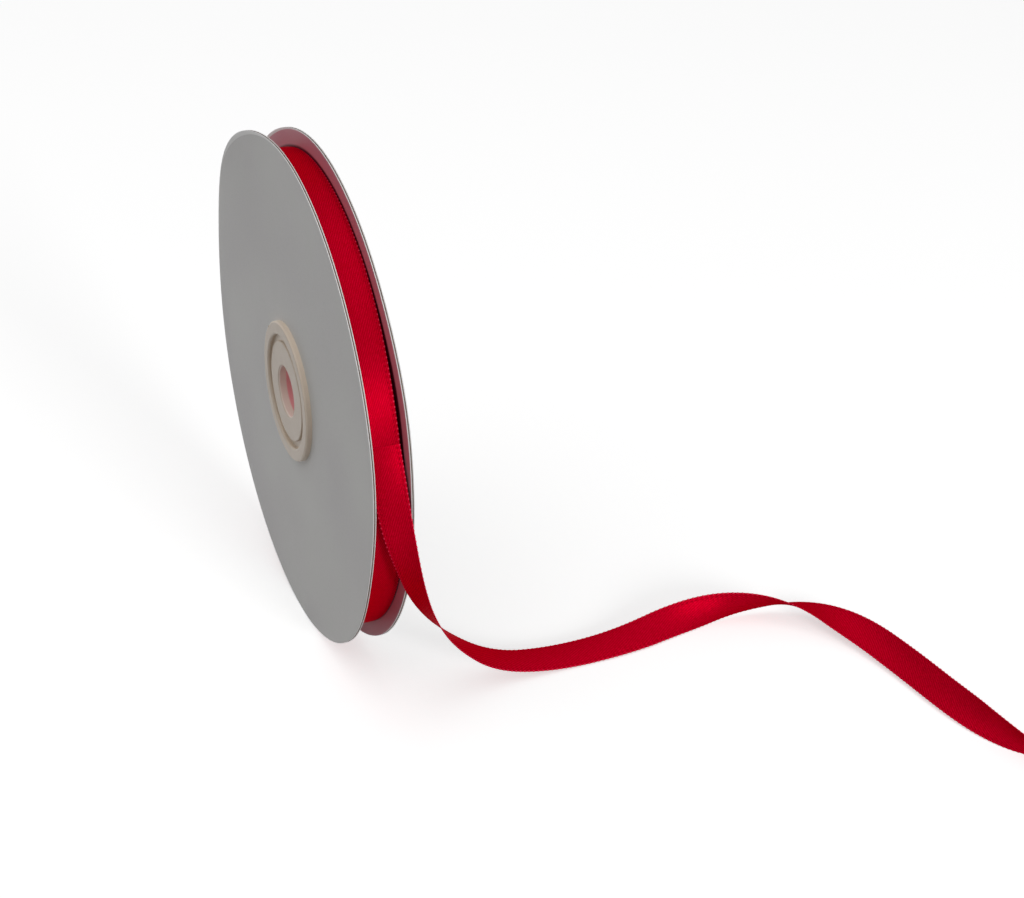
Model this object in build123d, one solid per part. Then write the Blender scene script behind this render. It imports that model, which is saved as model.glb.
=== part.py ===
# Ribbon spool: two laminated card flanges on a three-piece plastic hub, wound nearly full with
# narrow satin ribbon whose free end runs out over the rear flange and along the table.
# The spool stands upright on its two rims. Millimetres, +Z up, the spool's axis along X:
# the front flange is at -X, the rear one at +X, and the origin is on the table between them.
from build123d import *
from math import cos, pi, radians, sin, sqrt, tan
import os

# ---- driving dimensions ----
flange_diameter = 101.6
board_thickness = 0.42
paper_thickness = 0.08        # white paper laminated on both faces of the board

ribbon_width = 6.35
rim_above_winding = 3.1       # how far the flanges stand out past the full winding
winding_sag = 0.3             # the slack outer turns lie this much lower than the hub
tape_thickness = 0.1
tape_width = 5.0
tape_arc = 35.0               # degrees of the barrel that the starting tape covers

barrel_bore_diameter = 23.6
barrel_wall = 1.2

collar_overlap = 2.1          # how far a cap's collar reaches over the flange from its hole
collar_width = 2.65           # of the collar's flat rim, from its outside to the groove
collar_height = 1.2
groove_width = 1.35           # between the collar and the boss
groove_floor_height = 0.3
boss_height = 0.9             # raised middle of a hub cap, inside its groove
cap_web_thickness = 1.0
spigot_wall = 1.2
spigot_engagement = 2.4       # how far a cap's spigot reaches into the barrel
bore_diameter = 10.2
bore_wall = 1.2
collar_edge_radius = 0.45
boss_edge_radius = 0.25
bore_chamfer = 0.3
nick_width = 1.6              # gate mark in the collar's rim
nick_depth = 0.45
nick_angle = 41.0             # degrees from the top, towards +Y

# ---- clearances ----
ribbon_clearance = 0.125      # ribbon beside each flange
hole_clearance = 0.25         # cap spigot in the flange's hole
press_clearance = 0.05        # cap spigot in the barrel
wrap_clearance = 0.02         # tape on the barrel, ribbon on the tape
tail_clearance = 0.15         # free ribbon beside the winding that it leaves

# ---- derived values ----
flange_radius = flange_diameter / 2
axis_height = flange_radius
flange_thickness = board_thickness + 2 * paper_thickness
inner_face = ribbon_width / 2 + ribbon_clearance
outer_face = inner_face + flange_thickness
barrel_bore_radius = barrel_bore_diameter / 2
barrel_radius = barrel_bore_radius + barrel_wall
spigot_radius = barrel_bore_radius - press_clearance
flange_hole_radius = spigot_radius + hole_clearance
collar_radius = flange_hole_radius + collar_overlap
collar_inner_radius = collar_radius - collar_width
boss_radius = collar_inner_radius - groove_width
tape_radius = barrel_radius + wrap_clearance
winding_inner_radius = tape_radius + tape_thickness + wrap_clearance
winding_radius = flange_radius - rim_above_winding

# Points of the free ribbon's middle line, from where it leaves the winding to its cut end:
# down past the rear rim, onto the table, round a long S. The table is at z = 0, so a
# stretch that lies on it has its middle line half a ribbon's width up.
lying = ribbon_width / 2
leaving_height = 60.0
leaving_radius = winding_radius + lying + tail_clearance
leaving_depth = sqrt(leaving_radius ** 2 - (leaving_height - axis_height + winding_sag) ** 2)
tail_route = [
    (0.0, -leaving_depth, leaving_height),
    (0.0, -55.0, 48.0),
    (3.0, -57.0, 35.0),
    (10.0, -53.0, 21.0),
    (20.0, -47.0, 11.0),
    (30.0, -42.0, 5.0),
    (41.0, -39.0, lying),
    (54.0, -38.0, lying),
    (67.0, -36.0, lying),
    (79.0, -37.0, lying),
    (90.0, -43.0, lying),
    (97.0, -54.0, lying),
    (100.0, -68.0, lying),
    (102.0, -83.0, lying),
    (105.0, -96.0, lying),
    (111.0, -108.0, lying),
    (121.0, -116.0, lying),
]


def disc(radius, x_from, x_to, drop=0.0):
    """A solid disc square to the spool's axis, its centre lowered by drop."""
    place = Pos((x_from + x_to) / 2, 0, axis_height - drop) * Rot(0, 90, 0)
    return place * Cylinder(radius, x_to - x_from)


def flange_layers(side):
    """The three layers of one flange, from the inside out; side is -1 in front, 1 at the rear."""
    layers = {}
    start = inner_face
    for layer, thickness in (
        ("inner_paper", paper_thickness),
        ("board", board_thickness),
        ("outer_paper", paper_thickness),
    ):
        near, far = sorted((side * start, side * (start + thickness)))
        layers[layer] = disc(flange_radius, near, far) - disc(flange_hole_radius, near, far)
        start += thickness
    return layers


def round_edges(solid, x):
    """The circular edges of a turned solid that lie in the plane at x."""
    return [edge for edge in solid.edges().filter_by(GeomType.CIRCLE) if abs(edge.center().X - x) < 1e-4]


def edge_of_radius(solid, x, radius):
    """The circular edge of that radius in the plane at x."""
    return [edge for edge in round_edges(solid, x) if abs(edge.radius - radius) < 1e-4]


def front_cap():
    """A hub cap: collar, groove and boss outside, spigot and half of the bore's tube inside."""
    bore_radius = bore_diameter / 2
    spigot_inner_radius = spigot_radius - spigot_wall
    tube_radius = bore_radius + bore_wall
    collar_top = -(outer_face + collar_height)
    boss_top = -(outer_face + boss_height)
    groove_floor = -(outer_face + groove_floor_height)
    web_back = groove_floor + cap_web_thickness
    spigot_end = -inner_face + spigot_engagement
    profile = Polyline(
        (boss_top, bore_radius),
        (boss_top, boss_radius),
        (groove_floor, boss_radius),
        (groove_floor, collar_inner_radius),
        (collar_top, collar_inner_radius),
        (collar_top, collar_radius),
        (-outer_face, collar_radius),
        (-outer_face, spigot_radius),
        (spigot_end, spigot_radius),
        (spigot_end, spigot_inner_radius),
        (web_back, spigot_inner_radius),
        (web_back, tube_radius),
        (0, tube_radius),
        (0, bore_radius),
        close=True,
    )
    cap = revolve(make_face(profile), Axis.X)
    cap = fillet(round_edges(cap, collar_top), collar_edge_radius)
    cap = fillet(edge_of_radius(cap, boss_top, boss_radius), boss_edge_radius)
    cap = chamfer(edge_of_radius(cap, boss_top, bore_radius), bore_chamfer)
    nick = Rot(-nick_angle, 0, 0) * Pos(collar_top, 0, collar_radius) * Box(
        collar_height, nick_width, 2 * nick_depth
    )
    return Pos(0, 0, axis_height) * (cap - nick)


def barrel():
    """The drum that the ribbon is wound on, which also spaces the flanges."""
    return disc(barrel_radius, -inner_face, inner_face) - disc(barrel_bore_radius, -inner_face, inner_face)


def start_tape():
    """A patch of tape that holds the ribbon's first turn to the top of the barrel."""
    half_width = tape_width / 2
    half_arc = radians(tape_arc / 2)
    reach = 2 * barrel_radius
    band = disc(tape_radius + tape_thickness, -half_width, half_width) - disc(tape_radius, -half_width, half_width)
    wedge = make_face(Polyline(
        (0, 0),
        (-reach * sin(half_arc), reach * cos(half_arc)),
        (reach * sin(half_arc), reach * cos(half_arc)),
        close=True,
    ))
    sector = extrude(Plane.YZ * wedge, ribbon_width, both=True)
    return band & Pos(0, 0, axis_height) * sector


def winding():
    """The ribbon on the spool, as one ring whose outer turns have sunk a little."""
    half_width = ribbon_width / 2
    return disc(winding_radius, -half_width, half_width, winding_sag) - disc(
        winding_inner_radius, -half_width, half_width
    )


def route_radii(route):
    """The largest tangent arc at each corner: 0.45 of the shorter run beyond it."""
    points = [Vector(*point) for point in route]
    radii = []
    for before, corner, after in zip(points, points[1:], points[2:]):
        run_in = corner - before
        run_out = after - corner
        turn = radians(run_in.get_angle(run_out))
        radii.append(0.45 * min(run_in.length, run_out.length) / tan(turn / 2))
    return radii


def tail():
    """The free end of the ribbon, as a plain tube as thick as the ribbon is wide."""
    radii = route_radii(tail_route)
    path = FilletPolyline(*tail_route, radius=radii)
    start = Plane(origin=path @ 0, z_dir=path % 0)
    tube = sweep(start * Circle(ribbon_width / 2), path=path)
    section = pi * ribbon_width ** 2 / 4
    print("tail radii", [round(radius, 1) for radius in radii])
    print("tail length", round(path.length, 2), "volume over section times length",
          round(tube.volume / (section * path.length), 5))
    return tube


parts = {
    "front_hub_cap": front_cap(),
    "rear_hub_cap": mirror(front_cap(), Plane.YZ),
    "hub_barrel": barrel(),
    "start_tape": start_tape(),
    "ribbon_winding": winding(),
    "ribbon_tail": tail(),
}
for side_name, side in (("front", -1), ("rear", 1)):
    for layer, solid in flange_layers(side).items():
        parts[f"{side_name}_{layer}"] = solid

os.makedirs("parts", exist_ok=True)
for name, solid in parts.items():
    export_step(solid, f"parts/{name}.step")
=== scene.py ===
from math import cos, degrees, exp, pi, radians, sin, tau

import bpy
import numpy as np
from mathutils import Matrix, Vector


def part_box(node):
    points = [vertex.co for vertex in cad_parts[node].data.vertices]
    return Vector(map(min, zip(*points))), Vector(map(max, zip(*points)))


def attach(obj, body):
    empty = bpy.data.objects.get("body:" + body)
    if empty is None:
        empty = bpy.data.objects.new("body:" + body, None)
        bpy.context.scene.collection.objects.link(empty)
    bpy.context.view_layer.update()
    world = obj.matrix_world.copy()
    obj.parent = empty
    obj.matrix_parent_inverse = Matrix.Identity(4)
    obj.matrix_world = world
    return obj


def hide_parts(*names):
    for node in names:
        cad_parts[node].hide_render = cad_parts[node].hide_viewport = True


MM = 0.001

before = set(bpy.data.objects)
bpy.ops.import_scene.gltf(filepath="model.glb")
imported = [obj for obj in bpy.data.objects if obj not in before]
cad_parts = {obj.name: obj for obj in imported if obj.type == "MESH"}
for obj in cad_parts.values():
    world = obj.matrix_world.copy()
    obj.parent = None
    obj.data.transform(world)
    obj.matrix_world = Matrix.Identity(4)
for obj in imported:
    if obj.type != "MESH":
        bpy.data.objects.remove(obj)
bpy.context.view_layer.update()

# ---- sizes, from the CAD nodes ----
flange_low, flange_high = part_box("front_board")
winding_low, winding_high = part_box("ribbon_winding")
hole_radius = 12.0 * MM        # of the holes in the cards
flat_radius = 16 * MM          # the hub's collar holds the card flat inside this
flange_radius = (flange_high.z - flange_low.z) / 2
axis_height = flange_radius
inner_face = abs(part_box("front_inner_paper")[1].x)
outer_face = abs(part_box("front_outer_paper")[0].x)
winding_radius = (winding_high.z - winding_low.z) / 2
winding_height = (winding_high.z + winding_low.z) / 2
barrel_radius = 13.14 * MM     # of the barrel with the tape round it, where the turns start
ribbon_width = winding_high.x - winding_low.x
ribbon_thickness = 0.2 * MM
half_width = ribbon_width / 2

picot_pitch = 1.0 * MM        # between two loops of the woven edge
picot_size = 0.10 * MM
steps_per_picot = 8
leaving_angle = radians(13)   # above the horizontal, where the outer turn leaves the winding


# ---- camera, at the photograph's viewing angle ----
camera_place = (-113.4, -390.4, 260.0)   # mm
camera_heading = 21.86                   # degrees from +Y towards +X
camera_drop = 28.88                      # degrees below the horizontal
camera_lens = 80.9                       # mm


def add_camera():
    camera = bpy.data.objects.new("camera", bpy.data.cameras.new("camera"))
    bpy.context.scene.collection.objects.link(camera)
    camera.location = [distance * MM for distance in camera_place]
    camera.rotation_euler = (radians(90 - camera_drop), 0, radians(-camera_heading))
    camera.data.sensor_width = 36
    camera.data.lens = camera_lens
    bpy.context.scene.camera = camera


# ---- small tools for meshes ----
def mesh_object(name, points, faces):
    """A smooth-shaded mesh object at the origin, from points in metres."""
    mesh = bpy.data.meshes.new(name)
    mesh.from_pydata([tuple(point) for point in points], [], faces)
    mesh.update()
    mesh.polygons.foreach_set("use_smooth", [True] * len(mesh.polygons))
    obj = bpy.data.objects.new(name, mesh)
    bpy.context.scene.collection.objects.link(obj)
    return obj


def grid_faces(rows, columns, closed_rows=False, closed_columns=False):
    """Quads between neighbouring rows of points that each have the same number of columns."""
    faces = []
    for row in range(rows if closed_rows else rows - 1):
        next_row = (row + 1) % rows
        for column in range(columns if closed_columns else columns - 1):
            next_column = (column + 1) % columns
            faces.append((
                row * columns + column,
                row * columns + next_column,
                next_row * columns + next_column,
                next_row * columns + column,
            ))
    return faces


def set_uv(obj, uv):
    """Gives the mesh a UV map from one pair of numbers, in millimetres, for each vertex."""
    layer = obj.data.uv_layers.new(name="ribbon")
    vertex_of_loop = np.zeros(len(obj.data.loops), np.int32)
    obj.data.loops.foreach_get("vertex_index", vertex_of_loop)
    layer.data.foreach_set("uv", np.asarray(uv, np.float32)[vertex_of_loop].ravel())


def wobble(angle):
    """A smooth closed wave round a circle, about -1 to 1."""
    waves = (2, 3, 5, 8)
    phase = 1.7
    return sum(
        sin(wave * angle + phase * wave * wave) / (number + 1.5)
        for number, wave in enumerate(waves)
    ) / 1.3


def hump(angle, centre, spread):
    """A smooth rise to 1 where the angle meets its centre, both in degrees."""
    away = (angle - centre + 180) % 360 - 180
    return exp(-(away / spread) ** 2)


def both_sides(shares):
    """The shares of a half width, from edge to edge through the middle."""
    return [-share for share in reversed(shares)] + [0] + shares


# ---- the ribbon's free end ----
# Control points of its middle line in mm, and at each the direction across it, towards the edge that lies
# beside the rear flange on the spool: a heading from +X towards +Y and a tilt above the horizontal, both
# in degrees.
path_radius = winding_radius - ribbon_thickness / 2
leaving_depth = path_radius * cos(leaving_angle) / MM
leaving_height = (winding_height + path_radius * sin(leaving_angle)) / MM
tail_route = [
    ((0.0, -leaving_depth, leaving_height), 0, 0),
    ((0.0, -49.5, 50.5), -30, 5),
    ((1.5, -53.0, 38.5), -55, -5),
    ((6.0, -48.0, 25.5), -65, -10),
    ((13.5, -41.0, 13.0), -80, -10),
    ((24.0, -38.5, 3.5), -100, -5),
    ((37.0, -38.5, 1.0), -95, -15),
    ((52.0, -38.5, 1.5), -85, -20),
    ((66.0, -36.5, 3.0), -80, -55),
    ((79.0, -37.0, 4.0), 70, -70),
    ((90.5, -43.0, 4.5), 45, -20),
    ((97.0, -54.5, 3.5), 20, 25),
    ((100.0, -68.5, 3.0), 5, 40),
    ((102.0, -83.5, 3.0), 5, 40),
    ((104.5, -96.0, 3.5), 55, 80),
    ((110.0, -107.0, 3.0), -155, 35),
    ((121.0, -115.0, 0.5), -130, 0),
]
tail_cup = 0.5 * MM           # how far the ribbon bows across its width
freeing_length = 20 * MM      # from where it leaves the turns to where it bows and loops in full
held_loop = 0.4               # a loop's size where the strip leaves the turns, as a share
selvedge_share = 0.55         # the woven edge's thickness, as a share

# How far the turns' edge stands back from the rear flange, and where, in degrees above the near side's
# horizontal.
drift_most = 0.3 * MM
drift_centre = 22
drift_spread = 22
# The rear card is bent inwards here, in mm and in degrees from the top towards +Y, and presses the turns.
rear_dent = 1.0
rear_dent_centre = 42
rear_dent_spread = 18
pressed_share = 0.95          # of that bend, by which the turns' edge gives way


def spline_points(name, points):
    """The points that a NURBS spline through space passes, evenly in its own parameter."""
    curve = bpy.data.curves.new(name, "CURVE")
    curve.dimensions = "3D"
    curve.resolution_u = 96
    spline = curve.splines.new("NURBS")
    spline.points.add(len(points) - 1)
    for control, point in zip(spline.points, points):
        control.co = (*point, 1)
    spline.order_u = 3
    spline.use_endpoint_u = True
    holder = bpy.data.objects.new(name, curve)
    line = bpy.data.meshes.new_from_object(holder)
    found = np.array([vertex.co for vertex in line.vertices])
    bpy.data.objects.remove(holder)
    bpy.data.curves.remove(curve)
    bpy.data.meshes.remove(line)
    return found


def unit(vectors):
    return vectors / np.linalg.norm(vectors, axis=1, keepdims=True)


def edge_direction(heading, tilt):
    """The unit vector at a heading from +X towards +Y and a tilt above the horizontal, in degrees."""
    level = cos(radians(tilt))
    return Vector((level * cos(radians(heading)), level * sin(radians(heading)), sin(radians(tilt))))


def tail_line():
    """Evenly spaced points of the middle line, with the edge's direction and the face's normal."""
    middle = [Vector(point) * MM for point, heading, tilt in tail_route]
    edges = [point + edge_direction(heading, tilt) * MM
             for point, (_, heading, tilt) in zip(middle, tail_route)]
    line = spline_points("tail_line", middle)
    across = spline_points("tail_edge", edges) - line
    run = np.concatenate([[0], np.cumsum(np.linalg.norm(np.diff(line, axis=0), axis=1))])
    even = np.arange(0, run[-1], picot_pitch / steps_per_picot)
    line = np.stack([np.interp(even, run, line[:, axis]) for axis in range(3)], 1)
    across = np.stack([np.interp(even, run, across[:, axis]) for axis in range(3)], 1)
    along = unit(np.gradient(line, axis=0))
    across = unit(across - along * (across * along).sum(1, keepdims=True))
    return even, line, across, np.cross(across, along)


def edge_drift(angle):
    """How far the edge stands back from the rear flange, at an angle in radians that starts as above."""
    loose = hump(degrees(angle), drift_centre, drift_spread)
    pressed = hump(degrees(angle), 90 + rear_dent_centre, rear_dent_spread)
    return drift_most * loose + pressed_share * rear_dent * MM * pressed


def ribbon_section(run, cup):
    """One cross-section of the strip: (across, outward, share of the width) round its outline."""
    freed = min(1.0, run / freeing_length)
    loop = picot_size * (held_loop + (1 - held_loop) * freed) * max(0.0, sin(tau * run / picot_pitch))
    reach = half_width + loop
    drift = edge_drift(leaving_angle - run / winding_radius)
    upper = []
    lower = []
    for share in both_sides([0.25, 0.5, 0.75, 0.88, 0.97, 1]):
        thickness = ribbon_thickness / 2 * (selvedge_share if abs(share) == 1 else 1)
        bow = cup * (1 - share * share)
        across = share * reach - drift * (share + 1) / 2
        upper.append((across, bow + thickness, share))
        lower.append((across, bow - thickness, share))
    return upper + lower[::-1]


def add_tail():
    run, line, across, outward = tail_line()
    points = []
    uv = []
    cup = tail_cup * np.clip(run / freeing_length, 0, 1)
    for step in range(len(run)):
        section = ribbon_section(run[step], cup[step])
        for side, out, share in section:
            points.append(line[step] + across[step] * side + outward[step] * out)
            uv.append((run[step] / MM, share * half_width / MM))
    columns = len(section)
    faces = grid_faces(len(run), columns, closed_columns=True)
    last = (len(run) - 1) * columns
    faces.append(tuple(range(columns))[::-1])
    faces.append(tuple(range(last, last + columns)))
    tail = mesh_object("ribbon_tail_strip", points, faces)
    set_uv(tail, uv)
    path = line[::steps_per_picot]
    if not np.allclose(path[-1], line[-1]):
        path = np.vstack([path, line[-1]])
    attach(tail, "root")
    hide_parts("ribbon_tail")
    return tail


# ---- the ribbon on the spool ----
def add_winding():
    """The outer turn as a spiral that ends where the free end leaves, and the turns' edges beside it."""
    steps = 1800
    unevenness = 0.05 * MM
    edge_rounding = 0.10 * MM
    loop_size = 0.5 * picot_size
    shares = both_sides([0.2, 0.45, 0.7, 0.85, 0.96, 1])
    depths = [0.25 * MM, 1.2 * MM, 5 * MM, 15 * MM, winding_radius - barrel_radius]
    points = []
    uv = []
    for step in range(steps):
        turned = tau * step / steps
        angle = leaving_angle + turned
        length = winding_radius * turned
        radius = winding_radius - ribbon_thickness * turned / tau
        radius += unevenness * wobble(angle) * sin(turned / 2)
        loop = loop_size * max(0.0, sin(-tau * length / picot_pitch))
        drift = edge_drift(angle)
        row = []
        for depth in reversed(depths):
            row.append((-half_width, max(radius - depth, barrel_radius), -1))
        for share in shares:
            reach = half_width + (loop if abs(share) == 1 else 0)
            across = share * reach - drift * (share + 1) / 2
            row.append((across, radius - edge_rounding * abs(share) ** 12, share))
        for depth in depths:
            row.append((half_width - drift, max(radius - depth, barrel_radius), 1))
        for x, distance, share in row:
            fullness = (distance - barrel_radius) / (winding_radius - barrel_radius)
            centre = axis_height + (winding_height - axis_height) * fullness
            points.append((x, -distance * cos(angle), centre + distance * sin(angle)))
            down_the_side = (winding_radius - distance) * share if abs(share) == 1 else 0
            uv.append((-length / MM, (share * half_width + down_the_side) / MM))
    columns = len(row)
    faces = grid_faces(steps, columns, closed_rows=True, closed_columns=True)
    winding = mesh_object("ribbon_turns", points, faces)
    set_uv(winding, uv)
    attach(winding, "root")
    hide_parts("ribbon_winding")
    return winding


# ---- the card flanges ----
# Where each thin card, -1 at the front and 1 at the rear, is bent along +X and stretched outwards: how
# far in mm, and the centre and the spread in degrees from the top towards +Y.
card_bends = {
    -1: [(-1.5, 40, 24), (0.08, -75, 20), (-0.5, -112, 18)],
    1: [(-rear_dent, rear_dent_centre, rear_dent_spread), (0.25, -70, 16)],
}
card_stretch = {-1: (0.9, 30, 18), 1: (0.6, 36, 18)}
warp_power = 2.5              # how late the warp sets in, from the collar to the rim


def flange_warp(side, angle, radius):
    """How far the card is bent along X and stretched outwards, at an angle in degrees and a radius."""
    reach = max(0.0, (radius - flat_radius) / (flange_radius - flat_radius)) ** warp_power
    bend = sum(most * hump(angle, centre, spread) for most, centre, spread in card_bends[side])
    most, centre, spread = card_stretch[side]
    return bend * reach * MM, most * hump(angle, centre, spread) * reach * MM


def add_flange_layer(name, node, side, x_near, x_far, rim_inset, rim_rounding, roughness, slot):
    """One layer of a flange as a closed ring with a rough rim, x_near and x_far from the middle plane."""
    spokes = 720
    rings = [hole_radius] + [ring * MM for ring in (14, 18, 22, 27, 32, 37, 41, 45, 48)]
    edge = flange_radius - rim_inset
    rings += [edge - 2 * MM, edge - 0.6 * MM, edge - rim_rounding]
    middle = (x_near + x_far) / 2
    profile = [(ring, x_far) for ring in rings]
    profile += [(edge, x_far - rim_rounding / 2), (edge, middle), (edge, x_near + rim_rounding / 2)]
    profile += [(ring, x_near) for ring in reversed(rings)]
    rng = np.random.default_rng(7)
    rough = roughness * rng.standard_normal((spokes, len(profile)))
    points = []
    for spoke in range(spokes):
        angle = tau * spoke / spokes
        for column, (radius, x) in enumerate(profile):
            bend, stretch = flange_warp(side, degrees(angle), radius)
            out = radius + stretch + (rough[spoke, column] if radius == edge else 0)
            points.append((side * x + bend, out * sin(angle), axis_height + out * cos(angle)))
    faces = grid_faces(spokes, len(profile), closed_rows=True, closed_columns=True)
    if side > 0:
        faces = [face[::-1] for face in faces]
    layer = mesh_object(name, points, faces)
    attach(layer, "root")
    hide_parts(node)
    return layer


def add_flange(side_name, side):
    """The three layers of one flange: paper, grey board and paper."""
    paper = 0.17 * MM
    paper_rim = {
        "rim_inset": 0.03 * MM,
        "rim_rounding": 0.04 * MM,
        "roughness": 0.006 * MM,
        "slot": "facing_paper",
    }
    board_rim = {
        "rim_inset": 0.06 * MM,
        "rim_rounding": 0.03 * MM,
        "roughness": 0.025 * MM,
        "slot": "grey_board",
    }
    layers = [
        ("inner_facing", "inner_paper", inner_face, inner_face + paper, paper_rim),
        ("card_core", "board", inner_face + paper, outer_face - paper, board_rim),
        ("outer_facing", "outer_paper", outer_face - paper, outer_face, paper_rim),
    ]
    return [
        add_flange_layer(f"{side_name}_{layer}", f"{side_name}_{node}", side, x_near, x_far, **rim)
        for layer, node, x_near, x_far, rim in layers
    ]


# ---- materials ----
class Shader:
    """A material's node tree, with short ways to add to it."""

    def __init__(self, name):
        self.material = bpy.data.materials.new(name)
        self.material.use_nodes = True
        self.tree = self.material.node_tree
        self.bsdf = self.tree.nodes["Principled BSDF"]

    def node(self, kind, **settings):
        made = self.tree.nodes.new(kind)
        for key, value in settings.items():
            setattr(made, key, value)
        return made

    def put(self, socket, value):
        """Links an output to a socket, or sets a plain value on it."""
        if isinstance(value, bpy.types.NodeSocket):
            self.tree.links.new(value, socket)
        else:
            socket.default_value = value

    def math(self, operation, first, second=0.0):
        made = self.node("ShaderNodeMath", operation=operation)
        for socket, value in zip(made.inputs, (first, second)):
            self.put(socket, value)
        return made.outputs[0]

    def plus(self, first, second):
        return self.math("ADD", first, second)

    def minus(self, first, second):
        return self.math("SUBTRACT", first, second)

    def times(self, first, second):
        return self.math("MULTIPLY", first, second)

    def magnitude(self, value):
        return self.math("ABSOLUTE", value)

    def wave(self, run, pitch):
        """A sine wave, -1 to 1, that repeats after each pitch."""
        return self.math("SINE", self.times(run, tau / pitch))

    def noise(self, vector, scale, detail=2.0, roughness=0.5):
        made = self.node("ShaderNodeTexNoise")
        self.put(made.inputs["Vector"], vector)
        made.inputs["Scale"].default_value = scale
        made.inputs["Detail"].default_value = detail
        made.inputs["Roughness"].default_value = roughness
        return made.outputs["Fac"]

    def span(self, value, low, high, to_low=0.0, to_high=1.0):
        made = self.node("ShaderNodeMapRange", interpolation_type="SMOOTHSTEP")
        self.put(made.inputs["Value"], value)
        for name, number in (("From Min", low), ("From Max", high), ("To Min", to_low), ("To Max", to_high)):
            made.inputs[name].default_value = number
        return made.outputs["Result"]

    def mix(self, factor, first, second, blend_type="MIX"):
        made = self.node("ShaderNodeMix", data_type="RGBA", blend_type=blend_type)
        self.put(made.inputs["Factor"], factor)
        colour_sockets = [socket for socket in made.inputs if socket.type == "RGBA"]
        for socket, value in zip(colour_sockets, (first, second)):
            self.put(socket, (*value, 1) if isinstance(value, tuple) else value)
        return [socket for socket in made.outputs if socket.type == "RGBA"][0]

    def bump(self, height, distance, strength):
        made = self.node("ShaderNodeBump")
        self.put(made.inputs["Height"], height)
        made.inputs["Distance"].default_value = distance
        made.inputs["Strength"].default_value = strength
        return made.outputs["Normal"]

    def object_mm(self):
        """Object coordinates in millimetres."""
        coordinates = self.node("ShaderNodeTexCoord")
        scaled = self.node("ShaderNodeVectorMath", operation="SCALE")
        self.put(scaled.inputs[0], coordinates.outputs["Object"])
        scaled.inputs["Scale"].default_value = 1 / MM
        return scaled.outputs[0]

    def split(self, vector):
        made = self.node("ShaderNodeSeparateXYZ")
        self.put(made.inputs[0], vector)
        return made.outputs

    def join(self, x, y):
        made = self.node("ShaderNodeCombineXYZ")
        self.put(made.inputs[0], x)
        self.put(made.inputs[1], y)
        return made.outputs[0]

    def from_axis(self, y, z):
        """The distance from the spool's axis in millimetres, for a place in millimetres."""
        height = self.minus(z, axis_height / MM)
        return self.math("SQRT", self.plus(self.times(y, y), self.times(height, height)))


def satin_material():
    """Red satin: lengthwise floats in slanted twill lines, and a woven edge with loops. Sizes in mm."""
    slant = radians(28)           # of the twill lines, from the ribbon's length
    twill_pitch = 0.42
    thread_pitch = 0.16
    pit_inset = 0.62              # of the row of pits inside the edge's loops
    deep = (0.37, 0.0, 0.003)
    bright = (0.73, 0.0, 0.033)
    # painted shade in the pits of the woven edge
    pit_painted_shade = (0.20, 0.0, 0.004)
    # painted glint on the edge's loops
    knot_painted_glint = (0.92, 0.06, 0.14)

    shader = Shader("red_satin")
    uv = shader.node("ShaderNodeUVMap", uv_map="ribbon")
    u, v, _ = shader.split(uv.outputs[0])
    line_place = shader.plus(shader.times(v, cos(slant)), shader.times(u, sin(slant)))
    line_run = shader.minus(shader.times(u, cos(slant)), shader.times(v, sin(slant)))
    drift = shader.noise(shader.join(u, v), 0.5)
    stray = shader.noise(shader.join(shader.times(u, 1.1), shader.times(v, 5.0)), 1.0)
    phase = shader.plus(shader.times(line_place, tau / twill_pitch), shader.times(drift, 3.0))
    twill = shader.plus(shader.times(shader.math("SINE", phase), 0.5), 0.5)
    float_ends = shader.noise(shader.join(shader.times(line_run, 1.3), shader.times(line_place, 4.5)), 1.0)
    weave = shader.times(twill, shader.span(float_ends, 0.3, 0.65, 0.35, 1.0))
    threads = shader.times(shader.wave(v, thread_pitch), 0.25)

    edge_distance = shader.minus(half_width / MM, shader.magnitude(v))
    loop_wave = shader.wave(u, picot_pitch / MM)
    in_border = shader.span(edge_distance, 0.55, 0.95, 1.0, 0.0)
    from_pits = shader.magnitude(shader.minus(edge_distance, pit_inset))
    in_pit_row = shader.span(from_pits, 0.05, 0.26, 1.0, 0.0)
    in_knot_row = shader.span(edge_distance, 0.05, 0.34, 1.0, 0.0)
    pits = shader.times(in_pit_row, shader.span(loop_wave, -0.9, -0.1, 1.0, 0.0))
    knots = shader.times(in_knot_row, shader.span(loop_wave, 0.1, 0.9))

    lightness = shader.plus(shader.times(weave, 0.6), shader.times(stray, 0.35))
    colour = shader.mix(lightness, deep, bright)
    # painted shade: the pits are darkened
    colour = shader.mix(shader.times(pits, 0.22), colour, pit_painted_shade)
    # painted highlight: the loops are made bright pink
    colour = shader.mix(shader.times(knots, 0.8), colour, knot_painted_glint)
    shader.put(shader.bsdf.inputs["Base Color"], colour)

    height = shader.plus(shader.times(weave, 0.7), threads)
    height = shader.plus(height, shader.times(stray, 0.4))
    height = shader.times(height, shader.minus(1.0, shader.times(in_border, 0.6)))
    height = shader.plus(height, shader.times(knots, 1.6))
    height = shader.minus(height, shader.times(pits, 1.8))
    shader.put(shader.bsdf.inputs["Normal"], shader.bump(height, 0.05 * MM, 0.6))
    roughness = shader.plus(0.34, shader.times(in_border, 0.12))
    roughness = shader.plus(roughness, shader.times(stray, 0.08))
    shader.put(shader.bsdf.inputs["Roughness"], roughness)
    shader.bsdf.inputs["Metallic"].default_value = 0.35
    shader.bsdf.inputs["Anisotropic"].default_value = 0.6
    shader.bsdf.inputs["Anisotropic Rotation"].default_value = 0.25
    shader.bsdf.inputs["Specular IOR Level"].default_value = 0.0
    shader.bsdf.inputs["Specular Tint"].default_value = (1.0, 0.05, 0.12, 1)
    tangent = shader.node("ShaderNodeTangent", direction_type="UV_MAP", uv_map="ribbon")
    shader.put(shader.bsdf.inputs["Tangent"], tangent.outputs[0])
    return shader.material


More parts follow.
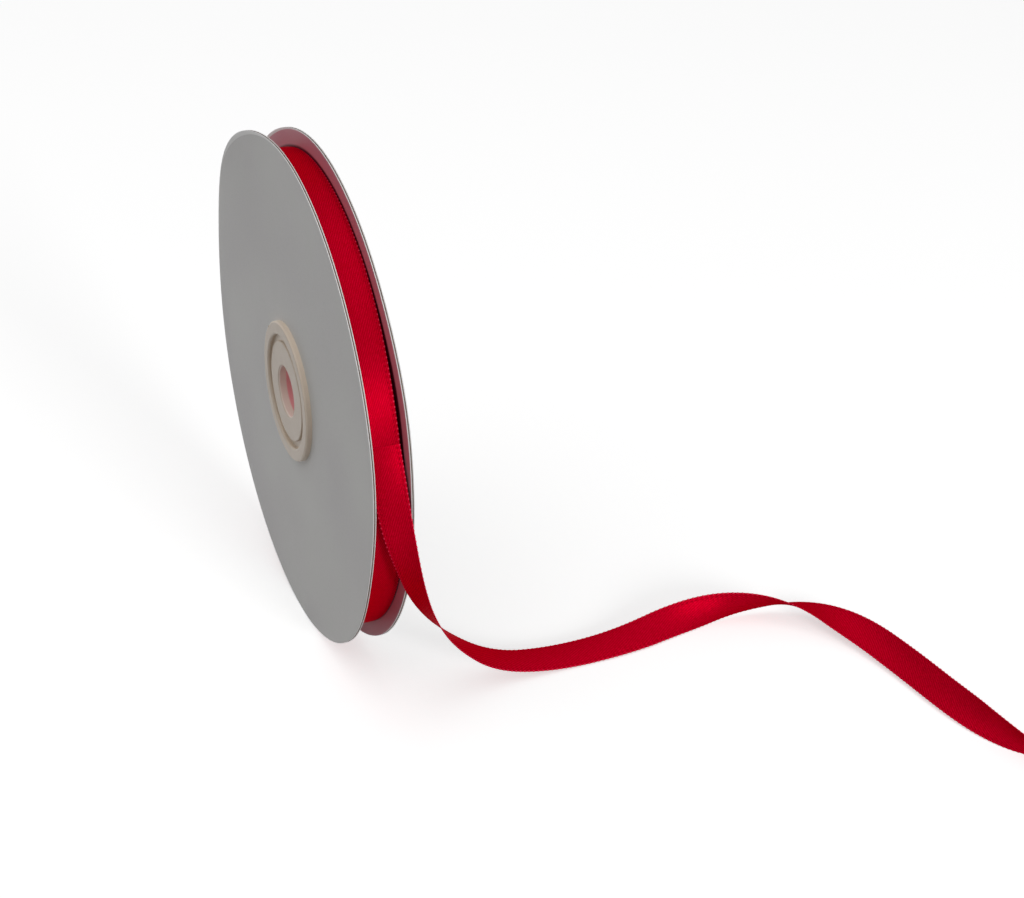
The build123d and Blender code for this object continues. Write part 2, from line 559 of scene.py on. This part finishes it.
def paper_material(name, painted_red_bounce, painted_shade_beside_turns=None):
    """White facing paper, a little shiny and uneven. The first colour argument is painted light, the red
    that the ribbon bounces onto the card, multiplied into its colour; the second is painted shade, a
    near-black red where the turns cover the card, seen as the dark gap beside the ribbon's edge. A paler
    line along the rim is painted light. Sizes in mm."""
    grey = (0.70, 0.695, 0.675)
    pale = (0.735, 0.72, 0.715)
    fibre_colour = (0.60, 0.595, 0.58)
    # painted light: the paler line along the rim
    painted_rim_light = (0.92, 0.91, 0.90)
    covered_radius = winding_radius / MM
    rim_radius = flange_radius / MM

    shader = Shader(name)
    place = shader.object_mm()
    cloud = shader.noise(place, 0.045, 3)
    fibre = shader.noise(place, 2.2, 4, 0.6)
    colour = shader.mix(shader.span(cloud, 0.35, 0.65), grey, pale)
    colour = shader.mix(shader.times(shader.span(fibre, 0.45, 0.75), 0.25), colour, fibre_colour)
    # painted light: the ribbon's red bounce, multiplied into the whole card
    colour = shader.mix(1.0, colour, painted_red_bounce, "MULTIPLY")
    _, y, z = shader.split(place)
    from_axis = shader.from_axis(y, z)
    # painted shade: a near-black red inside the turns' radius, seen as the dark gap between the ribbon's
    # edge and the card
    if painted_shade_beside_turns:
        painted_shade_mask = shader.span(from_axis, covered_radius - 0.3, covered_radius + 0.3, 1.0, 0.0)
        colour = shader.mix(painted_shade_mask, colour, painted_shade_beside_turns)
    # painted light: a whiter line along the rim, where the edge catches the light
    at_rim = shader.span(from_axis, rim_radius - 0.16, rim_radius - 0.08)
    colour = shader.mix(at_rim, colour, painted_rim_light)
    shader.put(shader.bsdf.inputs["Base Color"], colour)
    shader.put(shader.bsdf.inputs["Roughness"], shader.span(cloud, 0.3, 0.7, 0.42, 0.52))
    shader.put(shader.bsdf.inputs["Normal"], shader.bump(fibre, 0.01 * MM, 0.5))
    shader.bsdf.inputs["Specular IOR Level"].default_value = 0.2
    return shader.material


def board_material():
    """Raw recycled grey board as its cut edge shows it."""
    shader = Shader("grey_board")
    place = shader.object_mm()
    fleck = shader.noise(place, 3.0, 4, 0.7)
    colour = shader.mix(shader.span(fleck, 0.35, 0.7), (0.13, 0.085, 0.07), (0.26, 0.20, 0.175))
    shader.put(shader.bsdf.inputs["Base Color"], colour)
    shader.bsdf.inputs["Roughness"].default_value = 0.85
    shader.put(shader.bsdf.inputs["Normal"], shader.bump(fleck, 0.04 * MM, 0.8))
    return shader.material


def plastic_material():
    """Cream moulded plastic, with painted pink light deep in the bore that stands for the turns' red coming
    through, and painted light on the collar's wall and in the bore. Sizes in mm.
    """
    shader = Shader("cream_plastic")
    place = shader.object_mm()
    x, y, z = shader.split(place)
    from_axis = shader.from_axis(y, z)
    cloud = shader.noise(place, 0.25)
    speck = shader.noise(place, 2.5, 3)
    # painted light: the collar's outer wall, in shade from the lamps, is made paler
    painted_light_collar_wall = shader.span(from_axis, 13.7, 14.0)
    # painted light: the bore's wall is paler to undo the shade in it
    painted_light_in_bore = shader.span(from_axis, 5.15, 5.35, 1.0, 0.0)
    # painted light: the turns' red glow, put on the barrel between the cards
    painted_red_light_between_cards = shader.span(shader.magnitude(x), 3.05, 3.3, 1.0, 0.0)
    colour = shader.mix(shader.span(cloud, 0.35, 0.65), (0.66, 0.55, 0.44), (0.69, 0.58, 0.47))
    colour = shader.mix(painted_light_collar_wall, colour, (0.88, 0.74, 0.60))
    colour = shader.mix(painted_light_in_bore, colour, (0.93, 0.80, 0.70))
    colour = shader.mix(painted_red_light_between_cards, colour, (0.95, 0.42, 0.44))
    shader.put(shader.bsdf.inputs["Base Color"], colour)
    shader.put(shader.bsdf.inputs["Roughness"], shader.span(speck, 0.3, 0.7, 0.34, 0.44))
    shader.put(shader.bsdf.inputs["Normal"], shader.bump(speck, 0.01 * MM, 0.4))
    return shader.material


def tape_material():
    """Yellowish adhesive tape."""
    shader = Shader("yellow_tape")
    cloud = shader.noise(shader.object_mm(), 1.2)
    colour = shader.mix(shader.span(cloud, 0.3, 0.7), (0.72, 0.62, 0.38), (0.78, 0.70, 0.46))
    shader.put(shader.bsdf.inputs["Base Color"], colour)
    shader.bsdf.inputs["Roughness"].default_value = 0.3
    return shader.material


def give(obj, material):
    obj.data.materials.clear()
    obj.data.materials.append(material)


# ---- stage and light ----
def seen_directly(tree):
    """1 on camera, glossy and transmission rays, else 0."""
    path = tree.nodes.new("ShaderNodeLightPath")
    total = path.outputs["Is Camera Ray"]
    for name in ("Is Glossy Ray", "Is Transmission Ray"):
        add = tree.nodes.new("ShaderNodeMath")
        add.operation = "MAXIMUM"
        tree.links.new(total, add.inputs[0])
        tree.links.new(path.outputs[name], add.inputs[1])
        total = add.outputs[0]
    return total


def add_floor():
    """A pale table that is seen as white and keeps the shadow, a hair below the spool."""
    reach = 3.0
    corners = [(-reach, -reach, 0), (reach, -reach, 0), (reach, reach, 0), (-reach, reach, 0)]
    floor = mesh_object("floor", corners, [(0, 1, 2, 3)])
    floor.location.z = -0.02 * MM
    material = bpy.data.materials.new("floor")
    material.use_nodes = True
    tree = material.node_tree
    tree.nodes.clear()
    seen = seen_directly(tree)
    output = tree.nodes.new("ShaderNodeOutputMaterial")
    plain = tree.nodes.new("ShaderNodeBsdfDiffuse")
    plain.inputs["Color"].default_value = (0.28, 0.28, 0.28, 1)
    white = tree.nodes.new("ShaderNodeBsdfDiffuse")
    white.inputs["Color"].default_value = (0.9, 0.9, 0.9, 1)
    glow = tree.nodes.new("ShaderNodeEmission")
    glow.inputs["Strength"].default_value = 0.52
    both = tree.nodes.new("ShaderNodeAddShader")
    mix = tree.nodes.new("ShaderNodeMixShader")
    tree.links.new(white.outputs[0], both.inputs[0])
    tree.links.new(glow.outputs[0], both.inputs[1])
    tree.links.new(seen, mix.inputs[0])
    tree.links.new(plain.outputs[0], mix.inputs[1])
    tree.links.new(both.outputs[0], mix.inputs[2])
    tree.links.new(mix.outputs[0], output.inputs["Surface"])
    give(floor, material)


def add_world():
    """Even pale light, seen as white."""
    world = bpy.data.worlds.new("world")
    bpy.context.scene.world = world
    world.use_nodes = True
    tree = world.node_tree
    background = tree.nodes["Background"]
    background.inputs["Color"].default_value = (1, 1, 1, 1)
    strength = tree.nodes.new("ShaderNodeMapRange")
    tree.links.new(seen_directly(tree), strength.inputs["Value"])
    strength.inputs["To Min"].default_value = 0.27
    strength.inputs["To Max"].default_value = 1.0
    tree.links.new(strength.outputs["Result"], background.inputs["Strength"])


def add_lamp(name, direction, distance, size, level):
    """A soft round lamp aimed at the spool; level is how bright it makes a white card that faces it."""
    target = Vector((0, 0, axis_height))
    lamp = bpy.data.objects.new(name, bpy.data.lights.new(name, "AREA"))
    bpy.context.scene.collection.objects.link(lamp)
    lamp.data.shape = "DISK"
    lamp.data.size = size
    lamp.data.energy = level * pi * pi * distance * distance
    away = Vector(direction).normalized()
    lamp.location = target + away * distance
    lamp.rotation_euler = (-away).to_track_quat("-Z", "Y").to_euler()


add_camera()
tail = add_tail()
winding = add_winding()
flange_parts = add_flange("front", -1) + add_flange("rear", 1)

satin = satin_material()
give(tail, satin)
give(winding, satin)
card_looks = {
    # The inner facings get painted red bounce light, and painted shade where the turns cover them.
    "inner_facing": paper_material(
        "inside_facing_paper", painted_red_bounce=(0.90, 0.38, 0.48), painted_shade_beside_turns=(0.10, 0.0, 0.012)
    ),
    "card_core": board_material(),
    "outer_facing": paper_material("facing_paper", painted_red_bounce=(1.0, 1.0, 1.0)),
}
for part in flange_parts:
    _, layer = part.name.split("_", 1)
    give(part, card_looks[layer])
plastic = plastic_material()
for node in ("front_hub_cap", "rear_hub_cap", "hub_barrel"):
    give(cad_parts[node], plastic)
give(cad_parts["start_tape"], tape_material())

add_floor()
add_world()
add_lamp("top_lamp", direction=(-0.40, -0.08, 0.91), distance=1.5, size=1.8, level=0.30)
add_lamp("front_lamp", direction=(0.15, -0.94, 0.28), distance=1.5, size=0.4, level=0.37)
bpy.context.scene.view_settings.view_transform = "Standard"
